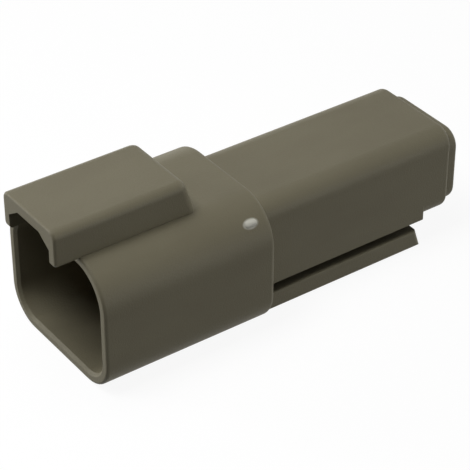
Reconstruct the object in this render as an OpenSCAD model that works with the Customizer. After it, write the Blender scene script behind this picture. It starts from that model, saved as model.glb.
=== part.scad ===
// Sealed two-way wire connector: the pin half, lying on the flat of its mating shell.
// A moulded housing carries a latch hood over its mouth, a narrower rear body and a
// clip rail. Two turned pin contacts sit in it, held by a wedge from the front, and a
// rubber wire seal behind them is kept in by a retainer at the rear.
// X runs along the connector from mouth to wires, Y across it and Z up from the surface
// it lies on. The origin is below the middle of the whole length.

/* [Mating shell] */
// Length of the shell from its rim to the shoulder
shell_length = 19.1; // [17:0.1:24]
// Width of the shell
shell_width = 17; // [15.5:0.1:20]
// Height of the shell
shell_height = 13.8; // [13:0.1:17]
// Wall of the shell
shell_wall = 1.1; // [0.8:0.05:1.4]
// Outer radius of the two upper corners
shell_top_radius = 4.6; // [3:0.1:5]
// Outer radius of the two lower corners
shell_bottom_radius = 3.7; // [3:0.1:4.5]
// Depth of the mouth from its rim to the inner wall
mouth_depth = 16; // [15:0.1:17]
// Rounding of the rim's outer edge
rim_radius = 0.3; // [0.15:0.05:0.5]
// Width of the lead-in round the mouth's inner edge
mouth_lead = 0.3; // [0.1:0.05:0.4]
// Rounding of the shoulder's edge at the rear of the shell
shoulder_radius = 0.55; // [0.4:0.05:1.2]

/* [Latch hood] */
// Width of the hood
hood_width = 9; // [8:0.1:10]
// Rise of the hood above the top of the shell
hood_rise = 3.5; // [3:0.1:4.5]
// How far the hood stands out in front of the rim
hood_overhang = 2.5; // [1.5:0.05:4]
// Length of the hood's top behind the rim
hood_length = 11.8; // [10.5:0.1:14]
// Run of the slope at the rear of the hood
hood_slope = 1.15; // [0.6:0.05:2]
// Thickness of the hood's roof
hood_roof = 1.15; // [0.9:0.05:1.5]
// Thickness of the hood's side walls
hood_wall = 1; // [0.8:0.05:1.3]
// Thickness of the hood's rear wall at its top
hood_back = 1.4; // [1:0.1:2]
// Depth to which the hood's walls reach below the top of the shell
hood_foot = 0.3; // [0.2:0.05:0.6]
// Rounding of the hood's long upper edges
hood_edge_radius = 0.85; // [0.5:0.05:1]
// Rounding of the hood's front edges
hood_lip_radius = 0.3; // [0.15:0.05:0.4]
// Rounding of the two upright edges at the rear of the hood
hood_corner_radius = 0.4; // [0.2:0.05:0.8]
// Width of the sloping corners under the roof
haunch_width = 1.65; // [1:0.05:2]
// Height of the sloping corners under the roof
haunch_height = 1.1; // [0.7:0.05:1.4]
// Distance of the latch catch behind the front of the hood
catch_setback = 3.4; // [3:0.1:5]
// Length of the latch catch
catch_length = 1.6; // [1:0.1:2.4]
// Depth of the latch catch below the roof
catch_depth = 0.9; // [0.5:0.05:1.2]

/* [Rear body] */
// Length of the rear body behind the shoulder
body_length = 23.8; // [22:0.1:30]
// Width of the rear body
body_width = 11.8; // [11.6:0.1:13]
// Height of the rear body
body_height = 9.55; // [9.4:0.05:11]
// Height of the rear body's underside above the surface
body_lift = 2.75; // [2.5:0.05:3]
// Radius of the rear body's upper corners
body_top_radius = 1.9; // [1.2:0.1:2.4]
// Radius of the lower corners behind the square ledge
body_end_radius = 1.85; // [1:0.05:2.4]
// Length of the part that has square lower corners
ledge_length = 20.6; // [19:0.1:22]
// Rounding of that part's lower edges
ledge_radius = 0.15; // [0.05:0.05:0.3]
// Rounding of the rear body's end edge
body_edge_radius = 0.5; // [0.2:0.05:0.8]
// Fillet between the shoulder and the rear body
root_fillet = 0.3; // [0.15:0.05:0.4]

/* [Clip rail] */
// Width of the rail's plate
rail_width = 12.4; // [10:0.1:14]
// Thickness of the rail's plate
rail_thickness = 2; // [1.4:0.05:2.2]
// Length of the rail behind the shoulder
rail_length = 20.25; // [18:0.05:22]
// Slant of the rail's rear end
rail_lead = 0.65; // [0.3:0.05:1.2]
// Rounding of the rail's lower long edges
rail_edge_radius = 0.35; // [0.2:0.05:0.6]
// Rounding of the two upright edges at the rear of the rail
rail_corner_radius = 0.5; // [0.2:0.05:0.8]
// Width of the web between rail and rear body
web_width = 5.4; // [4:0.1:7]
// Distance of the web's end ahead of the rail's end
web_setback = 1.2; // [0.8:0.1:3]

/* [Moulding gate] */
// Length of the gate pip on the shell's near upper corner
pip_length = 1.5; // [0.9:0.05:2]
// Width of the gate pip
pip_width = 0.8; // [0.5:0.05:1.2]
// Distance of the pip's middle ahead of the shoulder
pip_setback = 2.15; // [1.6:0.05:4]
// Turn of the pip from the top, round the corner
pip_turn = 48; // [20:1:70]

/* [Contact ways] */
// Distance between the two contacts
way_pitch = 4.7; // [4.5:0.05:5]
// Height of the contacts above the surface
way_height = 7; // [6.8:0.05:7.4]
// Diameter of the ways that the contacts go in by
way_bore = 2.9; // [2.75:0.05:3.1]
// Thickness of the wall that stops the contacts
stop_wall = 1; // [0.7:0.05:1.4]
// Width of a locking finger
finger_width = 2; // [1.4:0.1:2.2]
// Thickness of a locking finger
finger_thickness = 0.8; // [0.5:0.05:1]
// Length of a locking finger
finger_length = 4.6; // [3.6:0.1:5.5]
// Space above a finger, which lets it bend and takes the wedge
finger_room = 1.3; // [1.1:0.05:1.5]

/* [Pin contacts] */
// Diameter of the mating pin
pin_diameter = 1.57; // [1.4:0.01:1.6]
// Length of the mating pin from its tip to its root
pin_length = 6.7; // [5.5:0.1:7.5]
// Diameter of the pin's root, inside the wedge
root_diameter = 1.95; // [1.92:0.01:2.05]
// Diameter of the shoulder and the crimp barrel
barrel_diameter = 2.6; // [2.4:0.05:2.65]
// Length of the shoulder
shoulder_length = 1; // [0.7:0.05:1.4]
// Diameter of the neck behind the shoulder
neck_diameter = 1.9; // [1.6:0.05:2]
// Length of the neck
neck_length = 3; // [2.4:0.1:4]
// Diameter of the hole for the wire's strands
crimp_bore = 1.8; // [1.4:0.05:1.9]
// Depth of the hole for the wire's strands
crimp_depth = 6.2; // [4:0.1:7]
// Diameter of the hole through which the strands are seen
sight_hole = 0.8; // [0.5:0.05:1]

/* [Wedge] */
// Width of the wedge's plate
wedge_width = 11.4; // [10.8:0.1:12]
// Height of the wedge's plate
wedge_height = 7.6; // [7:0.1:8]
// Thickness of the wedge's plate
wedge_thickness = 2.6; // [2:0.1:3]
// Corner radius of the wedge's plate
wedge_radius = 2.2; // [1:0.1:3]
// Rounding of the wedge's front edge
wedge_edge_radius = 0.5; // [0.2:0.05:0.8]
// Thickness of the blades that go over the fingers
blade_thickness = 0.9; // [0.6:0.05:1]
// Thickness of the wedge's two side legs
leg_thickness = 0.9; // [0.7:0.05:1]
// Height of the wedge's two side legs
leg_height = 3; // [2:0.1:3.6]
// Length of the wedge's two side legs
leg_length = 2.2; // [1.6:0.1:2.4]

/* [Wire seal and retainer] */
// Depth of the seal's chamber from the rear of the body
chamber_depth = 11.3; // [10:0.1:13]
// Width of the chamber
chamber_width = 9.3; // [9.1:0.05:9.8]
// Height of the chamber
chamber_height = 6.9; // [6.6:0.05:7]
// Corner radius of the chamber
chamber_radius = 2; // [1.4:0.1:2.6]
// Number of ribs round the seal
seal_ribs = 4; // [2:1:5]
// Width of a rib round the seal
rib_width = 1.1; // [0.8:0.05:1.4]
// Depth of the grooves between the ribs
groove_depth = 0.35; // [0.2:0.05:0.4]
// Diameter of the seal's holes at their lips
lip_bore = 2; // [1.6:0.05:2.4]
// Diameter of the seal's holes between their lips
relief_bore = 3; // [2.6:0.05:3.2]
// Diameter of the retainer's wire holes
entry_bore = 3.7; // [3.4:0.05:3.8]
// Length of the retainer's spigot in the chamber
spigot_length = 2; // [1.4:0.1:3]
// Width of the retainer's flange
flange_width = 10.3; // [10.2:0.1:11]
// Height of the retainer's flange
flange_height = 8.4; // [8:0.1:8.6]
// Thickness of the retainer's flange
flange_thickness = 1.6; // [1.2:0.05:2.4]
// Corner radius of the flange
flange_radius = 1.9; // [1.4:0.1:2.4]
// Rounding of the flange's rear edge
flange_edge_radius = 0.5; // [0.2:0.05:0.7]
// Width of the lead-in at the wire holes
entry_lead = 0.35; // [0.2:0.05:0.5]

/* [Clearances] */
// Between a contact and what stops or locks it
seat_gap = 0.05; // [0.02:0.01:0.1]
// Between the wedge and the housing or the contacts
wedge_gap = 0.12; // [0.05:0.01:0.15]
// Between the seal and its chamber
seal_gap = 0.05; // [0.02:0.01:0.1]
// Between the retainer and the housing or the seal
retainer_gap = 0.08; // [0.04:0.01:0.15]
// Between the crimp barrels and the seal
barrel_gap = 0.4; // [0.2:0.05:0.8]

/* [Hidden] */
$fn = 64;
cut = 1;
left = 1;
right = -1;

// Places along X, measured from the rim of the mouth
hood_front = -hood_overhang;
body_end = shell_length + body_length;
flange_end = body_end + flange_thickness;
overall_length = flange_end - hood_front;
mouth_x = hood_overhang - overall_length / 2;
chamber_start = body_end - chamber_depth;
ledge_end = shell_length + ledge_length;
rail_end = shell_length + rail_length;
merge_x = shell_length - shoulder_radius;
stop_x = mouth_depth + stop_wall;
shoulder_front = stop_x + seat_gap;
shoulder_rear = shoulder_front + shoulder_length;
neck_rear = shoulder_rear + neck_length;
barrel_end = chamber_start - barrel_gap;
finger_tip = shoulder_rear + seat_gap;
finger_root = finger_tip + finger_length;
wedge_rear = mouth_depth - wedge_gap;
wedge_front = wedge_rear - wedge_thickness;
pin_root = wedge_front - wedge_gap;
pin_tip = pin_root - pin_length;
spigot_front = body_end - spigot_length;
seal_front = chamber_start + seal_gap;
seal_rear = spigot_front - retainer_gap;

// Heights and widths
hood_top = shell_height + hood_rise;
hood_base = shell_height - hood_foot;
foot_radius = 1.5 * hood_lip_radius;
tunnel_top = hood_top - hood_roof;
tunnel_width = hood_width - 2 * hood_wall;
tunnel_end = hood_length - hood_back;
finger_base = way_height + way_bore / 2 + seat_gap;
finger_top = finger_base + finger_thickness;
pocket_top = finger_top + finger_room;
nib_bottom = way_height + neck_diameter / 2 + seat_gap;
leg_y = wedge_width / 2 - leg_thickness;
pin_hole = root_diameter + 2 * wedge_gap;

// Section across X: flat base on the X axis of the sketch, upper and lower corners rounded
module section(width, height, top_r, low_r) {
    translate([-width / 2, low_r]) square([width, height - top_r - low_r]);
    translate([top_r - width / 2, height / 2]) square([width - 2 * top_r, height / 2]);
    translate([low_r - width / 2, 0]) square([width - 2 * low_r, height / 2]);
    for (side = [-1, 1]) {
        translate([side * (width / 2 - top_r), height - top_r]) circle(r = top_r);
        translate([side * (width / 2 - low_r), low_r]) circle(r = low_r);
    }
}

// Sketch in Y and Z, carried along X
module along_x(x0, x1) {
    translate([x0, 0, 0]) rotate([90, 0, 90]) linear_extrude(x1 - x0) children();
}

// Sketch in X and Z, carried across Y to both sides of the middle
module across_y(width) {
    translate([0, width / 2, 0]) rotate([90, 0, 0]) linear_extrude(width) children();
}

module rod_x(x0, x1, diameter) {
    translate([x0, 0, 0]) rotate([0, 90, 0]) cylinder(d = diameter, h = x1 - x0);
}

module quarter(r) {
    intersection() {
        circle(r = r);
        square(r);
    }
}

module slope(run) {
    polygon([[0, 0], [run, 0], [0, run]]);
}

module cove(r) {
    difference() {
        square(r);
        translate([r, r]) circle(r = r);
    }
}

// Corner of an end cap: a quarter turn of the section's corner, with the edge's profile as its child
module cap_corner(corner_r, edge) {
    rotate_extrude(angle = 90) {
        square([corner_r - edge, edge]);
        translate([corner_r - edge, 0]) children();
    }
}

// End cap that brings the end of a section in by one edge width, with the edge's profile as its child
module end_cap(width, height, top_r, low_r, edge) {
    linear_extrude(edge) translate([0, edge])
        section(width - 2 * edge, height - 2 * edge, top_r - edge, low_r - edge);
    translate([top_r - width / 2, height - edge, 0])
        rotate([90, 0, 90]) linear_extrude(width - 2 * top_r) children();
    translate([low_r - width / 2, edge, 0]) mirror([0, 1, 0])
        rotate([90, 0, 90]) linear_extrude(width - 2 * low_r) children();
    for (flip = [0, 1]) mirror([flip, 0, 0]) {
        translate([width / 2 - edge, height - top_r, 0])
            rotate([90, 0, 0]) linear_extrude(height - top_r - low_r) children();
        translate([width / 2 - top_r, height - top_r, 0]) cap_corner(top_r, edge) children();
        translate([width / 2 - low_r, low_r, 0]) rotate(-90) cap_corner(low_r, edge) children();
    }
}

// Length of section from x0 to x1 with its edge rolled over at one end: toward 1 the rear, -1 the front
module soft_block(x0, x1, width, height, top_r, low_r, edge, toward) {
    straight0 = toward > 0 ? x0 : x0 + edge;
    straight1 = toward > 0 ? x1 - edge : x1;
    along_x(straight0, straight1) section(width, height, top_r, low_r);
    translate([toward > 0 ? straight1 : straight0, 0, 0])
        mirror([toward > 0 ? 0 : 1, 0, 0])
            rotate([90, 0, 90]) end_cap(width, height, top_r, low_r, edge) quarter(edge);
}

// Block that ends in a rear face leaning back from the point (x, z), with its two upright edges rounded
module leaning_block(x, z, lean, width, corner_r) {
    reach = 2 * overall_length;
    inset = width / 2 - corner_r;
    translate([x, 0, z]) rotate([0, -lean, 0]) translate([0, 0, -reach / 2])
        linear_extrude(reach) {
            translate([-reach, -width / 2]) square([reach - corner_r, width]);
            translate([-reach, -inset]) square([reach, 2 * inset]);
            for (side = [-1, 1]) translate([-corner_r, side * inset]) circle(r = corner_r);
        }
}

// Side view of the hood that rounds its upper rear edge and leaves the slope below that to be cut
module hood_side(rear, lean) {
    tangent = hood_edge_radius * tan((90 - lean) / 2);
    polygon([
        [hood_front, hood_base],
        [hood_front, hood_top],
        [hood_length - tangent, hood_top],
        [hood_length + tangent * sin(lean), hood_top - tangent * cos(lean)],
        [rear, hood_base]
    ]);
    translate([hood_length - tangent, hood_top - hood_edge_radius]) circle(r = hood_edge_radius);
}

module hood_block() {
    lean = atan(hood_slope / hood_rise);
    rear = hood_length + 2 * hood_slope;
    intersection() {
        translate([0, 0, hood_base])
            soft_block(
                hood_front, rear, hood_width, hood_top - hood_base,
                hood_edge_radius, foot_radius, hood_lip_radius, -1
            );
        across_y(hood_width + cut) hood_side(rear, lean);
        leaning_block(hood_length, hood_top, lean, hood_width, hood_corner_radius);
    }
}

// Space under the hood for the mating latch, open to the mouth and sloping in at the roof's corners
module latch_tunnel() {
    half = tunnel_width / 2;
    low = shell_height / 2;
    along_x(hood_front - cut, tunnel_end)
        polygon([
            [-half, low],
            [half, low],
            [half, tunnel_top - haunch_height],
            [half - haunch_width, tunnel_top],
            [haunch_width - half, tunnel_top],
            [-half, tunnel_top - haunch_height]
        ]);
}

// Bar under the roof that the latch hooks behind, with a ramp towards the mouth
module latch_catch() {
    front = hood_front + catch_setback;
    across_y(tunnel_width)
        polygon([
            [front, tunnel_top],
            [front + catch_length / 2, tunnel_top - catch_depth],
            [front + catch_length, tunnel_top - catch_depth],
            [front + catch_length, tunnel_top]
        ]);
}

module shell_block() {
    middle = shell_length / 2;
    soft_block(
        middle, shell_length, shell_width, shell_height,
        shell_top_radius, shell_bottom_radius, shoulder_radius, 1
    );
    soft_block(
        0, middle, shell_width, shell_height,
        shell_top_radius, shell_bottom_radius, rim_radius, -1
    );
}

// What is hollowed out for the mating half's nose, with a sloping lead-in at the rim
module mouth_space() {
    width = shell_width - 2 * shell_wall;
    height = shell_height - 2 * shell_wall;
    top_r = shell_top_radius - shell_wall;
    low_r = shell_bottom_radius - shell_wall;
    lead_w = width + 2 * mouth_lead;
    lead_h = height + 2 * mouth_lead;
    along_x(-cut, mouth_depth)
        translate([0, shell_wall]) section(width, height, top_r, low_r);
    translate([0, 0, shell_wall - mouth_lead]) {
        along_x(-cut, 0) section(lead_w, lead_h, top_r + mouth_lead, low_r + mouth_lead);
        rotate([90, 0, 90])
            end_cap(lead_w, lead_h, top_r + mouth_lead, low_r + mouth_lead, mouth_lead) slope(mouth_lead);
    }
}

module body_block() {
    translate([0, 0, body_lift]) {
        along_x(merge_x, ledge_end) section(body_width, body_height, body_top_radius, ledge_radius);
        soft_block(
            ledge_end, body_end, body_width, body_height,
            body_top_radius, body_end_radius, body_edge_radius, 1
        );
    }
    body_root();
}

// Fillet round the top and the sides of the rear body, where it leaves the shoulder
module body_root() {
    width = body_width + 2 * root_fillet;
    height = body_height + 2 * root_fillet;
    translate([shell_length, 0, body_lift]) rotate([90, 0, 90]) intersection() {
        translate([0, -root_fillet, 0])
            end_cap(width, height, body_top_radius + root_fillet, 2 * root_fillet, root_fillet)
                cove(root_fillet);
        translate([-width / 2, 0, 0]) cube([width, height, root_fillet]);
    }
}

// Rail that a mounting clip slides on: a plate on a web, with a slot at each side
module clip_rail() {
    intersection() {
        along_x(merge_x, rail_end + cut)
            section(rail_width, rail_thickness, rail_edge_radius / 2, rail_edge_radius);
        leaning_block(rail_end, 0, atan(rail_lead / rail_thickness), rail_width, rail_corner_radius);
    }
    translate([merge_x, -web_width / 2, rail_thickness / 2])
        cube([
            rail_end - web_setback - merge_x,
            web_width,
            body_lift + body_height / 4 - rail_thickness / 2
        ]);
}

// Mark left by the moulding gate: a low lozenge on the near upper corner of the shell
module gate_pip() {
    reach = pip_length - pip_width;
    corner_y = shell_top_radius - shell_width / 2;
    corner_z = shell_height - shell_top_radius;
    translate([shell_length - pip_setback, corner_y, corner_z])
        rotate([pip_turn, 0, 0])
            translate([-reach / 2, 0, shell_top_radius - pip_width / 4]) {
                rod_x(0, reach, pip_width);
                for (end = [0, reach]) translate([end, 0, 0]) sphere(d = pip_width);
            }
}

module each_way() {
    for (side = [left, right]) translate([0, side * way_pitch / 2, 0]) children();
}

// What is hollowed out behind the mouth for one contact: its way, the pin's hole, the finger's pocket
// and the window in the stop wall that the wedge's blade goes through
module contact_way() {
    pocket_width = finger_width + 2 * wedge_gap;
    pocket_base = finger_base - way_bore / 4;
    translate([0, 0, way_height]) {
        rod_x(stop_x, chamber_start + cut, way_bore);
        rod_x(mouth_depth - cut, stop_x + cut, pin_hole);
    }
    translate([stop_x, -pocket_width / 2, pocket_base])
        cube([finger_root - stop_x, pocket_width, pocket_top - pocket_base]);
    translate([mouth_depth - cut, -pocket_width / 2, finger_top])
        cube([stop_wall + 2 * cut, pocket_width, pocket_top - finger_top]);
}

// Finger that snaps down behind a contact's shoulder
module locking_finger() {
    across_y(finger_width)
        polygon([
            [finger_root + finger_thickness, finger_base],
            [finger_root + finger_thickness, finger_top],
            [finger_tip, finger_top],
            [finger_tip, nib_bottom],
            [finger_tip + finger_thickness, nib_bottom],
            [finger_tip + 2 * finger_thickness, finger_base]
        ]);
}

module leg_socket() {
    for (side = [left, right])
        translate([
            mouth_depth - cut,
            side * (leg_y + leg_thickness / 2) - leg_thickness / 2 - wedge_gap,
            way_height - leg_height / 2 - wedge_gap
        ])
            cube([
                leg_length + cut,
                leg_thickness + 2 * wedge_gap,
                leg_height + 2 * wedge_gap
            ]);
}

module housing() {
    color([0.44, 0.43, 0.38]) translate([mouth_x, 0, 0]) {
        difference() {
            union() {
                shell_block();
                hood_block();
                body_block();
                clip_rail();
                gate_pip();
            }
            mouth_space();
            latch_tunnel();
            each_way() contact_way();
            leg_socket();
            along_x(chamber_start, body_end + cut)
                translate([0, way_height - chamber_height / 2])
                    section(chamber_width, chamber_height, chamber_radius, chamber_radius);
        }
        latch_catch();
        each_way() locking_finger();
    }
}

module wedge_lock() {
    blade_width = finger_width;
    blade_base = pocket_top - wedge_gap - blade_thickness;
    blade_length = finger_root - wedge_gap - wedge_rear;
    color([0.87, 0.42, 0.13]) translate([mouth_x, 0, 0]) {
        difference() {
            translate([0, 0, way_height - wedge_height / 2])
                soft_block(
                    wedge_front, wedge_rear, wedge_width, wedge_height,
                    wedge_radius, wedge_radius, wedge_edge_radius, -1
                );
            each_way() translate([0, 0, way_height])
                rod_x(wedge_front - cut, wedge_rear + cut, pin_hole);
        }
        each_way() translate([wedge_rear, -blade_width / 2, blade_base])
            cube([blade_length, blade_width, blade_thickness]);
        for (side = [left, right])
            translate([
                wedge_rear,
                side * (leg_y + leg_thickness / 2) - leg_thickness / 2,
                way_height - leg_height / 2
            ])
                cube([leg_length, leg_thickness, leg_height]);
    }
}

// Turned contact, drawn as half its section: distance from the axis, then distance along it
module contact_profile() {
    pin_r = pin_diameter / 2;
    root_r = root_diameter / 2;
    barrel_r = barrel_diameter / 2;
    neck_r = neck_diameter / 2;
    polygon([
        [0, pin_tip + pin_r],
        [pin_r, pin_tip + pin_r],
        [pin_r, pin_root],
        [root_r, pin_root + root_r - pin_r],
        [root_r, shoulder_front],
        [barrel_r, shoulder_front],
        [barrel_r, shoulder_rear],
        [neck_r, shoulder_rear],
        [neck_r, neck_rear],
        [barrel_r, neck_rear + barrel_r - neck_r],
        [barrel_r, barrel_end],
        [0, barrel_end]
    ]);
    translate([0, pin_tip + pin_r]) intersection() {
        circle(r = pin_r);
        translate([0, -pin_r]) square(pin_r);
    }
}

module contact_pin(side) {
    color([0.72, 0.71, 0.68])
        translate([mouth_x, side * way_pitch / 2, way_height]) difference() {
            rotate([0, 90, 0]) rotate_extrude() contact_profile();
            rod_x(barrel_end - crimp_depth, barrel_end + cut, crimp_bore);
            translate([barrel_end - crimp_depth, 0, 0]) cylinder(d = sight_hole, h = barrel_diameter);
        }
}

module contact_pin_left() {
    contact_pin(left);
}

module contact_pin_right() {
    contact_pin(right);
}

// Rubber seal: ribs press on the chamber's wall, and lips in its holes close on the wires
module wire_seal() {
    length = seal_rear - seal_front;
    rib_step = (length - rib_width) / (seal_ribs - 1);
    relief_length = rib_step - rib_width;
    rib_w = chamber_width - 2 * seal_gap;
    rib_h = chamber_height - 2 * seal_gap;
    rib_r = chamber_radius - seal_gap;
    color([0.72, 0.28, 0.14]) translate([mouth_x, 0, 0]) difference() {
        union() {
            along_x(seal_front, seal_rear)
                translate([0, way_height - rib_h / 2 + groove_depth])
                    section(
                        rib_w - 2 * groove_depth, rib_h - 2 * groove_depth,
                        rib_r - groove_depth, rib_r - groove_depth
                    );
            for (i = [0 : seal_ribs - 1])
                along_x(seal_front + i * rib_step, seal_front + i * rib_step + rib_width)
                    translate([0, way_height - rib_h / 2]) section(rib_w, rib_h, rib_r, rib_r);
        }
        each_way() translate([0, 0, way_height]) {
            rod_x(seal_front - cut, seal_rear + cut, lip_bore);
            for (i = [0 : seal_ribs - 2])
                translate([seal_front + i * rib_step + rib_width, 0, 0])
                    rod_x(0, relief_length, relief_bore);
        }
    }
}

module seal_retainer() {
    spigot_w = chamber_width - 2 * retainer_gap;
    spigot_h = chamber_height - 2 * retainer_gap;
    spigot_r = chamber_radius - retainer_gap;
    entry_r = entry_bore / 2;
    color([0.44, 0.43, 0.38]) translate([mouth_x, 0, 0]) difference() {
        union() {
            along_x(spigot_front, body_end)
                translate([0, way_height - spigot_h / 2]) section(spigot_w, spigot_h, spigot_r, spigot_r);
            translate([0, 0, way_height - flange_height / 2])
                soft_block(
                    body_end, flange_end, flange_width, flange_height,
                    flange_radius, flange_radius, flange_edge_radius, 1
                );
        }
        each_way() translate([0, 0, way_height]) {
            rod_x(spigot_front - cut, flange_end + cut, entry_bore);
            translate([flange_end - entry_lead, 0, 0])
                rotate([0, 90, 0]) cylinder(r1 = entry_r, r2 = entry_r + entry_lead, h = entry_lead);
        }
    }
}

housing();
wedge_lock();
contact_pin_left();
contact_pin_right();
wire_seal();
seal_retainer();
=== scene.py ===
# %% [markdown]
# # A sealed wire connector, pin half
# This lesson dresses a small moulded connector for a product picture. Its solids come ready
# made at full size, so the work here is what they lack: a softer rounding at two corners, the
# finish of each material, the light and the camera.
# Everything is in metres, in the frame of the solids: X runs from the mating mouth to the
# wire end, Y across, and Z up from the surface that the connector lies on.

# %% Load the connector
import math
import bmesh
import bpy
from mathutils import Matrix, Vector


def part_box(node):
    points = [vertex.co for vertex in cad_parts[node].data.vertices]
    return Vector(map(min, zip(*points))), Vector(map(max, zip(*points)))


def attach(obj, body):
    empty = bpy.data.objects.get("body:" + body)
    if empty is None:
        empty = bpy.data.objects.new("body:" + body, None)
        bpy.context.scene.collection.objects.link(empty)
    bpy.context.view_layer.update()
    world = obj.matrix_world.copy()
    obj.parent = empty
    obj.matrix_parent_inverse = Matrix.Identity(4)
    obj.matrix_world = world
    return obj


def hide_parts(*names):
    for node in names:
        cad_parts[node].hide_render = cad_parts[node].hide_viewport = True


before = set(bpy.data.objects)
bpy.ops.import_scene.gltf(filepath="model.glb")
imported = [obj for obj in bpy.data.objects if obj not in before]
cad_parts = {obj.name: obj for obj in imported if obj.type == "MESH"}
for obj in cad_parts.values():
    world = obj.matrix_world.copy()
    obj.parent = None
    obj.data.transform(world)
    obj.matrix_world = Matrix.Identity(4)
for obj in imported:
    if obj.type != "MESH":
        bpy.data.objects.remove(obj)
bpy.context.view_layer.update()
MM = 0.001
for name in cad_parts:
    low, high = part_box(name)
    print(name, "spans", [round(size / MM, 2) for size in high - low], "mm")

# %% [markdown]
# ## Camera
# Small parts are photographed with a long lens from a little way off, which keeps their long
# edges nearly parallel. The camera stands in front of the mouth and to the near side, and
# looks down at about thirty-five degrees. Its direction is given as two angles and a distance,
# as one would read them off a tripod, and the aim point puts the part where the picture has it.
# The same two angles will place the lamps later, so they get a helper of their own.

# %% Camera
VIEW_AZIMUTH = -35.59
VIEW_ELEVATION = 35.01
VIEW_DISTANCE = 196.7 * MM
LENS_MM = 154.3
SENSOR_MM = 36.0
AIM_POINT = Vector((-1.33, -1.03, 6.30)) * MM


def direction(azimuth, elevation):
    """Unit vector towards what is seen at these angles in degrees; azimuth 0 is the near side, -Y."""
    turn = math.radians(azimuth)
    rise = math.radians(elevation)
    return Vector((
        math.sin(turn) * math.cos(rise),
        -math.cos(turn) * math.cos(rise),
        math.sin(rise),
    ))


def stand_at(thing, azimuth, elevation, distance):
    """Put a camera or a lamp on a sphere round the aim point, looking inwards."""
    outwards = direction(azimuth, elevation)
    thing.location = AIM_POINT + outwards * distance
    thing.rotation_euler = (-outwards).to_track_quat("-Z", "Y").to_euler()
    bpy.context.collection.objects.link(thing)


camera_data = bpy.data.cameras.new("camera")
camera_data.lens = LENS_MM
camera_data.sensor_width = SENSOR_MM
camera_data.clip_start = 1 * MM
camera = bpy.data.objects.new("camera", camera_data)
stand_at(camera, VIEW_AZIMUTH, VIEW_ELEVATION, VIEW_DISTANCE)
bpy.context.scene.camera = camera
bpy.context.scene.view_settings.view_transform = "Standard"
print("camera at", [round(c / MM, 1) for c in camera.location], "mm")

# %% [markdown]
# ## Rounded hood corners
# On the real moulding the two upright corners at the rear of the latch hood look softer than in
# the solid, which rounds them only slightly. How much softer is hard to measure in a picture, so
# the radius here is judged. A bevel wants one clean edge, but at these corners a slope and
# two rolled edges run into each other. So a copy of the housing is cut up finely there, and then
# its points are moved. The solid's mesh carries the exact normals of its curved faces. The copy
# notes them at every face corner, so that the rest of the housing keeps its shading.

# %% Copy the housing
SAME_PLACE = 0.0001 * MM

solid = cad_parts["housing"].data
form = bmesh.new()
form.from_mesh(solid)
exact = form.loops.layers.float_vector.new("exact_normal")
face_corners = [loop for face in form.faces for loop in face.loops]
for loop, known in zip(face_corners, solid.corner_normals):
    loop[exact] = known.vector
bmesh.ops.remove_doubles(form, verts=form.verts, dist=SAME_PLACE)
print("copied", len(form.faces), "faces on", len(form.verts), "points")

# %% [markdown]
# ## Cutting up the corners
# Each rounding turns about a line inside its corner that leans like the hood's sloping rear. A
# fan of planes through that line gives the walls points to bend at, and level planes do the same
# where the upper edges roll over. The bisect operator cuts faces and keeps them joined. The hood's
# measures are those of the solid, and only the corners' radius is new.

# %% Cut up the corners
HOOD_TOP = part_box("housing")[1].z
HOOD_REAR = -9.2 * MM
HOOD_HALF_WIDTH = 4.5 * MM
HOOD_FOOT = 13.7 * MM
RUN_PER_FALL = 1.15 / 3.5
ROLL_RADIUS = 0.85 * MM
CORNER_RADIUS = 0.9 * MM
NEAR_CORNER = 1.2 * CORNER_RADIUS
FAN_CUTS = 9
LEVEL_CUTS = 5


def past_centre_line(point, side):
    """How far a point lies behind a corner's leaning centre line, and how far to its side."""
    rear = HOOD_REAR + (HOOD_TOP - point.z) * RUN_PER_FALL
    return point.x - rear + CORNER_RADIUS, side * point.y - HOOD_HALF_WIDTH + CORNER_RADIUS


def by_corner(vert, side):
    """Whether a point belongs to the hood near one of its rear corners."""
    behind, outside = past_centre_line(vert.co, side)
    return vert.co.z > HOOD_FOOT and max(abs(behind), abs(outside)) < NEAR_CORNER


def cut_faces(faces, point, normal):
    """Cut faces along a plane and keep both sides; dict keys list each edge and point once, in order."""
    edges = dict.fromkeys(edge for face in faces for edge in face.edges)
    verts = dict.fromkeys(vert for face in faces for vert in face.verts)
    bmesh.ops.bisect_plane(
        form, geom=[*faces, *edges, *verts], dist=SAME_PLACE, plane_co=point, plane_no=normal
    )


for side in (-1, 1):
    centre = Vector((HOOD_REAR - CORNER_RADIUS, side * (HOOD_HALF_WIDTH - CORNER_RADIUS), HOOD_TOP))
    for cut in range(FAN_CUTS):
        turn = math.pi / 2 * cut / (FAN_CUTS - 1)
        outwards = Vector((math.cos(turn), side * math.sin(turn), 0))
        touched = [face for face in form.faces if any(by_corner(vert, side) for vert in face.verts)]
        cut_faces(touched, centre, outwards.cross(Vector((-RUN_PER_FALL, 0, 1))))
    for cut in range(LEVEL_CUTS):
        fall = ROLL_RADIUS * (1 - math.sin(math.pi / 2 * cut / LEVEL_CUTS))
        within = [face for face in form.faces if all(by_corner(vert, side) for vert in face.verts)]
        cut_faces(within, centre - Vector((0, 0, fall)), Vector((0, 0, 1)))
print("the cuts made", len(form.faces) - len(solid.polygons), "more faces")

# %% [markdown]
# ## Shape of the rounding
# At each height the rounding is a quarter of an ellipse round the centre line. Low down it is a
# circle; towards the top it shrinks with the two rolled edges, so that they run into one another
# as they do in a mould cut with a ball-ended mill. One function says how large the ellipse through
# a point is. The direction in which the ellipses grow fastest is the normal of the new surface.

# %% Shape of the rounding
REAR_LEAN = math.atan(RUN_PER_FALL)
ROLL_TANGENT = ROLL_RADIUS * math.tan((math.pi / 2 - REAR_LEAN) / 2)
PROBE = 0.001 * MM


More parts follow.
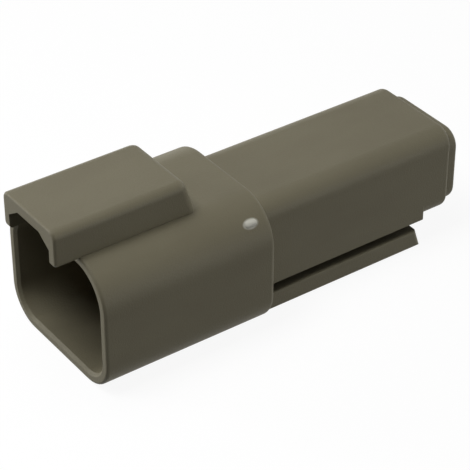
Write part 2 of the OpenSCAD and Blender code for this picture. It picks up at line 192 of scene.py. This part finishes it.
def ellipse_size(point, side):
    """Size of the ellipse through a point, where the rounding's own at that height is 1."""
    behind, outside = past_centre_line(point, side)
    rise = max(point.z - HOOD_TOP + ROLL_RADIUS, 0)
    roll = math.sqrt(max(ROLL_RADIUS ** 2 - rise ** 2, 0))
    to_side = CORNER_RADIUS - ROLL_RADIUS + roll
    to_rear = CORNER_RADIUS
    if rise > ROLL_RADIUS * math.sin(REAR_LEAN):
        to_rear += roll - ROLL_TANGENT - (HOOD_TOP - point.z) * RUN_PER_FALL
    return math.hypot(behind / to_rear, outside / to_side)


def growth(point, side):
    """Direction in which the ellipses grow fastest."""
    probes = [Vector((PROBE, 0, 0)), Vector((0, PROBE, 0)), Vector((0, 0, PROBE))]
    rates = [ellipse_size(point + probe, side) - ellipse_size(point - probe, side) for probe in probes]
    return Vector(rates).normalized()


print("the hood's rear leans by", round(math.degrees(REAR_LEAN), 1), "degrees")

# %% [markdown]
# ## Drawing the corners in
# A point outside its ellipse moves straight in to it, at its own height. Points that come to lie
# almost on one another are merged, because slivers between them would shade badly. Then the new
# surface gets its normals, while the shell's top, which the hood only stands on, keeps its own.

# %% Draw the corners in
SHELL_TOP = HOOD_FOOT + 0.2 * MM
NEARLY_LEVEL = 0.8
NEARLY_ROUND = 0.98
MERGED = 0.03 * MM
SLIVER = MERGED / 3


def on_shell(face):
    """Whether a face is part of the shell's top, which the hood stands on."""
    return face.normal.z > NEARLY_LEVEL and face.calc_center_median().z < SHELL_TOP


def corner_points(side, least):
    """The hood's points in a corner's quarter whose ellipses have at least the given size."""
    return [
        vert for vert in form.verts
        if by_corner(vert, side)
        and min(past_centre_line(vert.co, side)) > SAME_PLACE
        and ellipse_size(vert.co, side) > least
        and not all(on_shell(face) for face in vert.link_faces)
    ]


for side in (-1, 1):
    form.normal_update()
    drawn_in = corner_points(side, 1)
    for vert in drawn_in:
        behind, outside = past_centre_line(vert.co, side)
        vert.co -= Vector((behind, side * outside, 0)) * (1 - 1 / ellipse_size(vert.co, side))
    print("drew in", len(drawn_in), "points")
    bmesh.ops.remove_doubles(form, verts=drawn_in, dist=MERGED)
    rounded = corner_points(side, NEARLY_ROUND)
    edges = dict.fromkeys(edge for vert in rounded for edge in vert.link_edges)
    bmesh.ops.dissolve_degenerate(form, dist=SLIVER, edges=list(edges))
    form.normal_update()
    for vert in corner_points(side, NEARLY_ROUND):
        for loop in vert.link_loops:
            if not on_shell(loop.face):
                loop[exact] = growth(vert.co, side)

# %% [markdown]
# ## The rounded housing
# The copy becomes an object of its own, which stands for the solid in every picture. Its noted
# normals go back on the mesh as custom normals, and the layer that held them is then spent.

# %% The rounded housing
housing_mesh = bpy.data.meshes.new("housing_rounded")
form.to_mesh(housing_mesh)
form.free()
housing_mesh.shade_smooth()
noted = housing_mesh.attributes["exact_normal"]
housing_mesh.normals_split_custom_set([item.vector for item in noted.data])
housing_mesh.attributes.remove(noted)
housing = bpy.data.objects.new("housing_rounded", housing_mesh)
bpy.context.collection.objects.link(housing)
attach(housing, "root")
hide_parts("housing")
print(housing.name, "has", len(housing_mesh.polygons), "faces")

# %% [markdown]
# ## Node helpers
# A material is a small graph. A few things come up in every finish below: a new material with
# its main shader, a node with its settings, and a noise pattern on the object's own
# coordinates. Object coordinates are in metres here, so a noise with features one millimetre
# across has a scale of a thousand; the helper takes the feature's size instead. Nearly all values
# of a noise lie between the two limits below.

# %% Node helpers
NOISE_LOW = 0.3
NOISE_HIGH = 0.7


def new_finish(title):
    """Return a new material with its node tree and its main shader."""
    finish = bpy.data.materials.new(title)
    finish.use_nodes = True
    return finish, finish.node_tree, finish.node_tree.nodes["Principled BSDF"]


def feed(tree, socket, value):
    """Link an output to a socket, or set the socket to a plain value."""
    if isinstance(value, bpy.types.NodeSocket):
        tree.links.new(value, socket)
    else:
        socket.default_value = value


def add_node(tree, kind, settings=None, **inputs):
    """Add a node, set its properties, then feed its inputs by name, with _ for a space."""
    node = tree.nodes.new(kind)
    for key, value in (settings or {}).items():
        setattr(node, key, value)
    for key, value in inputs.items():
        feed(tree, node.inputs[key.replace("_", " ")], value)
    return node


def scaled_place(tree, feature, stretch=(1, 1, 1), centre=(0, 0, 0)):
    """Object coordinates from a centre, counted in features of the given size along each axis."""
    counts = [1 / (feature * factor) for factor in stretch]
    place = add_node(tree, "ShaderNodeTexCoord").outputs["Object"]
    mapping = add_node(tree, "ShaderNodeMapping", Vector=place, Scale=counts)
    mapping.inputs["Location"].default_value = [-c * count for c, count in zip(centre, counts)]
    return mapping.outputs["Vector"]


def noise(tree, feature, detail, stretch=(1, 1, 1)):
    """Cloudy pattern of values about one half, with features of the given size."""
    place = scaled_place(tree, feature, stretch)
    return add_node(tree, "ShaderNodeTexNoise", Vector=place, Scale=1.0, Detail=detail).outputs["Fac"]


def ranged(tree, value, start, end, low, high):
    """Carry the range from start to end over to low to high, and hold it there."""
    return add_node(
        tree, "ShaderNodeMapRange", Value=value,
        From_Min=start, From_Max=end, To_Min=low, To_Max=high,
    ).outputs["Result"]


def mixed(tree, factor, first, second):
    """Blend two colours, each a triple or an output, by a factor."""
    mix = add_node(tree, "ShaderNodeMix", {"data_type": "RGBA"})
    sockets = {socket.identifier: socket for socket in mix.inputs}
    feed(tree, sockets["Factor_Float"], factor)
    for key, value in (("A_Color", first), ("B_Color", second)):
        feed(tree, sockets[key], (*value, 1) if isinstance(value, tuple) else value)
    return next(socket for socket in mix.outputs if socket.identifier == "Result_Color")


print("helpers ready")

# %% [markdown]
# ## Moulded plastic
# The housing and the retainer are moulded in a grey thermoplastic with a little olive in it.
# Its skin copies the eroded steel of the mould, a grain of about a sixth of a millimetre
# that breaks up every reflection, and where the melt ran the colour drifts slightly along the
# flow. One could paint both as pictures; noise on object coordinates needs no unwrapping and
# stays put on the part. A bevel normal rounds the last tenth of a millimetre of each edge in
# the shading, because a moulded edge is never a knife edge and always catches a thin light.

# %% Moulded plastic
EDGE_SOFTNESS = 0.09 * MM
GRAIN_SIZE = 0.16 * MM
GRAIN_HEIGHT = 0.026 * MM
FLOW_SIZE = 4.0 * MM
FLOW_STRETCH = (2.5, 1, 1)


def soft_edges(tree):
    """Normal of the surface with its edges rounded by a small radius."""
    return add_node(tree, "ShaderNodeBevel", {"samples": 6}, Radius=EDGE_SOFTNESS).outputs["Normal"]


def moulded_skin(tree, shader, grain_height, rough_low, rough_high):
    """Eroded grain in the relief and in the roughness."""
    grain = noise(tree, GRAIN_SIZE, detail=3.0)
    relief = add_node(
        tree, "ShaderNodeBump", Height=grain, Distance=grain_height, Strength=1.0, Normal=soft_edges(tree)
    )
    feed(tree, shader.inputs["Normal"], relief.outputs["Normal"])
    roughness = ranged(tree, grain, NOISE_LOW, NOISE_HIGH, rough_low, rough_high)
    feed(tree, shader.inputs["Roughness"], roughness)


def flowed_colour(tree, dull, fresh):
    """Colour that drifts between two tones along the flow of the melt."""
    drift = noise(tree, FLOW_SIZE, detail=4.0, stretch=FLOW_STRETCH)
    return mixed(tree, ranged(tree, drift, NOISE_LOW, NOISE_HIGH, 0.0, 1.0), dull, fresh)


GREY_DULL = (0.150, 0.135, 0.089)
GREY_FRESH = (0.164, 0.149, 0.099)
grey_plastic, tree, shader = new_finish("olive_grey_moulded_plastic")
grey_colour = flowed_colour(tree, GREY_DULL, GREY_FRESH)
feed(tree, shader.inputs["Base Color"], grey_colour)
shader.inputs["Specular IOR Level"].default_value = 0.2
moulded_skin(tree, shader, GRAIN_HEIGHT, rough_low=0.5, rough_high=0.62)
print(grey_plastic.name, "has", len(tree.nodes), "nodes")

# %% [markdown]
# ## Gate mark
# Where the melt entered, the plastic was torn off at the gate, and the little pip that is left
# there is stress-whitened. The pip itself is in the solid, so only its colour is added: an
# egg-shaped region round it, measured in object coordinates, fades the grey to a pale tone. That
# tone stands partly for the whitening and partly for a painted highlight, the glint of light on the pip.

# %% Gate mark
PIP_CENTRE = Vector((-4.05, -7.32, 12.28)) * MM
PIP_REACH = 0.55 * MM
PIP_STRETCH = (1.6, 1, 1)
# Pale tone of the pip: stress-whitening, and also a painted highlight for the glint on it
PIP_WHITE_AND_GLINT = (0.56, 0.55, 0.48)
PALE_TO = 0.7
GREY_FROM = 1.05

from_pip = scaled_place(tree, PIP_REACH, PIP_STRETCH, PIP_CENTRE)
reach = add_node(tree, "ShaderNodeVectorMath", {"operation": "LENGTH"})
feed(tree, reach.inputs[0], from_pip)
# Painted highlight: this mask lays the pale tone, whitening and glint together, round the pip
whitening_and_glint = ranged(tree, reach.outputs["Value"], PALE_TO, GREY_FROM, 1.0, 0.0)
feed(tree, shader.inputs["Base Color"], mixed(tree, whitening_and_glint, grey_colour, PIP_WHITE_AND_GLINT))
print("gate mark at", [round(c / MM, 2) for c in PIP_CENTRE], "mm")

# %% [markdown]
# ## Wedge plastic
# The wedge lock deep in the mouth is a separate moulding in bright orange, so that a fitter
# sees at once that it is in place. It comes from a better polished mould, so it shares the
# helpers above with a finer relief and a lower roughness.

# %% Wedge plastic
ORANGE_DULL = (0.62, 0.135, 0.016)
ORANGE_FRESH = (0.74, 0.175, 0.022)
orange_plastic, tree, shader = new_finish("orange_moulded_plastic")
feed(tree, shader.inputs["Base Color"], flowed_colour(tree, ORANGE_DULL, ORANGE_FRESH))
shader.inputs["Specular IOR Level"].default_value = 0.4
moulded_skin(tree, shader, GRAIN_HEIGHT / 2, rough_low=0.34, rough_high=0.46)
print(orange_plastic.name, "has", len(tree.nodes), "nodes")

# %% [markdown]
# ## Contact plating
# The pins are turned from copper alloy and nickel plated. The lathe leaves rings round the
# axis, which runs along X, and the thin plating keeps them, so a wave of bands along X makes
# both the relief and the change of gloss, and a faint warm tint clouds the grey of the nickel.

# %% Contact plating
TURNING_PITCH = 0.09 * MM
TURNING_DEPTH = 0.002 * MM
TURNING_ROUGHNESS = (0.22, 0.34)
BANDS_PER_UNIT = 20 / math.tau
TARNISH_SIZE = 1.5 * MM
TARNISH_FROM = 0.35
NICKEL_GREY = (0.60, 0.57, 0.52)
NICKEL_WARM = (0.56, 0.50, 0.41)

nickel_plate, tree, shader = new_finish("nickel_plated_contact")
rings = add_node(
    tree, "ShaderNodeTexWave", {"wave_type": "BANDS", "bands_direction": "X"},
    Vector=scaled_place(tree, TURNING_PITCH), Scale=1 / BANDS_PER_UNIT,
    Distortion=1.2, Detail=2.0, Detail_Scale=0.4,
).outputs["Fac"]
turning = add_node(
    tree, "ShaderNodeBump", Height=rings, Distance=TURNING_DEPTH, Strength=0.8, Normal=soft_edges(tree)
)
clouds = noise(tree, TARNISH_SIZE, detail=4.0)
tarnish = ranged(tree, clouds, TARNISH_FROM, NOISE_HIGH, 0.0, 1.0)
feed(tree, shader.inputs["Base Color"], mixed(tree, tarnish, NICKEL_GREY, NICKEL_WARM))
feed(tree, shader.inputs["Roughness"], ranged(tree, rings, 0.0, 1.0, *TURNING_ROUGHNESS))
feed(tree, shader.inputs["Normal"], turning.outputs["Normal"])
shader.inputs["Metallic"].default_value = 1.0
print(nickel_plate.name, "has", len(tree.nodes), "nodes")

# %% [markdown]
# ## Seal rubber
# The wire seal is a soft silicone in brick orange. Silicone takes up dust and has a dull,
# slightly velvety skin: a mottled colour, a high roughness and a little sheen at grazing angles.

# %% Seal rubber
BRICK_DARK = (0.40, 0.070, 0.022)
BRICK_LIGHT = (0.52, 0.105, 0.036)
DUST_SIZE = 0.35 * MM
DUST_FROM = 0.35
DUST_TO = 0.65
RUBBER_ROUGHNESS = (0.55, 0.7)

silicone, tree, shader = new_finish("brick_silicone_rubber")
mottle = noise(tree, DUST_SIZE, detail=5.0)
skin = add_node(
    tree, "ShaderNodeBump", Height=mottle, Distance=GRAIN_HEIGHT, Strength=0.6, Normal=soft_edges(tree)
)
dusting = ranged(tree, mottle, DUST_FROM, DUST_TO, 0.0, 1.0)
feed(tree, shader.inputs["Base Color"], mixed(tree, dusting, BRICK_DARK, BRICK_LIGHT))
feed(tree, shader.inputs["Roughness"], ranged(tree, mottle, NOISE_LOW, NOISE_HIGH, *RUBBER_ROUGHNESS))
feed(tree, shader.inputs["Normal"], skin.outputs["Normal"])
shader.inputs["Specular IOR Level"].default_value = 0.4
shader.inputs["Sheen Weight"].default_value = 0.25
shader.inputs["Sheen Roughness"].default_value = 0.5
print(silicone.name, "has", len(tree.nodes), "nodes")

# %% [markdown]
# ## Dress the pieces
# Each solid gets its finish by its name, and the rounded housing wears the same as its solid.

# %% Dress the pieces
FINISHES = {
    "housing": grey_plastic,
    "seal_retainer": grey_plastic,
    "wedge_lock": orange_plastic,
    "contact_pin_left": nickel_plate,
    "contact_pin_right": nickel_plate,
    "wire_seal": silicone,
}
dressed = [(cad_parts[name].data, finish) for name, finish in FINISHES.items()]
dressed.append((housing_mesh, grey_plastic))
for mesh, finish in dressed:
    mesh.materials.clear()
    mesh.materials.append(finish)
    print(mesh.name, "wears", finish.name)

# %% [markdown]
# ## White surroundings
# The connector lies on white paper that runs out of the picture. Paper lit until it is white
# would throw so much light back that the sides went pale. So the floor is a modest grey for
# the light that it passes on, and the camera, reflections and see-through rays find it lifted
# to white. The lift is added to the floor's own light, so a soft shadow is left under the part.
# The world does the same behind the floor's edge.

# %% White surroundings
FLOOR_REACH = 2.0
FLOOR_GREY = 0.1
FLOOR_LIFT = 0.92
AMBIENT = 0.01


def seen_directly(tree):
    """One for camera, glossy and transmission rays, nought for the light between surfaces."""
    path = add_node(tree, "ShaderNodeLightPath").outputs
    either = add_node(tree, "ShaderNodeMath", {"operation": "MAXIMUM"})
    feed(tree, either.inputs[0], path["Is Camera Ray"])
    feed(tree, either.inputs[1], path["Is Glossy Ray"])
    any_of = add_node(tree, "ShaderNodeMath", {"operation": "MAXIMUM"})
    feed(tree, any_of.inputs[0], either.outputs["Value"])
    feed(tree, any_of.inputs[1], path["Is Transmission Ray"])
    return any_of.outputs["Value"]


floor_mesh = bpy.data.meshes.new("floor")
sheet = bmesh.new()
bmesh.ops.create_grid(sheet, x_segments=1, y_segments=1, size=FLOOR_REACH)
sheet.to_mesh(floor_mesh)
sheet.free()
floor = bpy.data.objects.new("floor", floor_mesh)
bpy.context.collection.objects.link(floor)

paper, tree, shader = new_finish("white_paper")
shader.inputs["Base Color"].default_value = (FLOOR_GREY, FLOOR_GREY, FLOOR_GREY, 1)
shader.inputs["Roughness"].default_value = 0.9
shader.inputs["Specular IOR Level"].default_value = 0.0
shader.inputs["Emission Color"].default_value = (1, 1, 1, 1)
feed(tree, shader.inputs["Emission Strength"], ranged(tree, seen_directly(tree), 0, 1, 0, FLOOR_LIFT))
floor_mesh.materials.append(paper)

world = bpy.data.worlds.new("white_room")
world.use_nodes = True
bpy.context.scene.world = world
tree = world.node_tree
room = tree.nodes["Background"]
room.inputs["Color"].default_value = (1, 1, 1, 1)
feed(tree, room.inputs["Strength"], ranged(tree, seen_directly(tree), 0, 1, AMBIENT, 1))
print("floor passes on", FLOOR_GREY, "of its light")

# %% [markdown]
# ## Soft boxes
# The light comes from above, a little towards the mouth, and leaves the near side in its own
# shade. The larger a lamp is against its distance, the softer its shadows, and the nearer it is,
# the faster it fades along the part. So the key is small and near: the hood throws a clear shadow
# into the mouth, and the top grows a little darker towards the wire end. A second lamp overhead
# softens it. The rest stand further off. A low lamp fills the near side: it skims over the floor of
# the clip slot, so the slot stays dark. A card low in front lights the rim and the hood's front
# edge, and two broad, weak lamps fill the far side and the wire end.

# %% Soft boxes
def softbox(title, azimuth, elevation, distance, width, watts):
    """Square lamp at these angles and this distance from the aim point, facing it."""
    data = bpy.data.lights.new(title, "AREA")
    data.size = width
    data.energy = watts
    stand_at(bpy.data.objects.new(title, data), azimuth, elevation, distance)
    print(title, watts, "W")


softbox("key_over_the_mouth", -94, 66, distance=190 * MM, width=70 * MM, watts=0.15)
softbox("overhead", -140, 72, distance=170 * MM, width=100 * MM, watts=0.09)
softbox("near_fill", 30, 3, distance=500 * MM, width=60 * MM, watts=0.67)
softbox("mouth_card", -140, 3, distance=500 * MM, width=160 * MM, watts=2.0)
softbox("far_fill", 165, 14, distance=500 * MM, width=300 * MM, watts=0.3)
softbox("wire_end_fill", 90, 14, distance=500 * MM, width=300 * MM, watts=0.6)
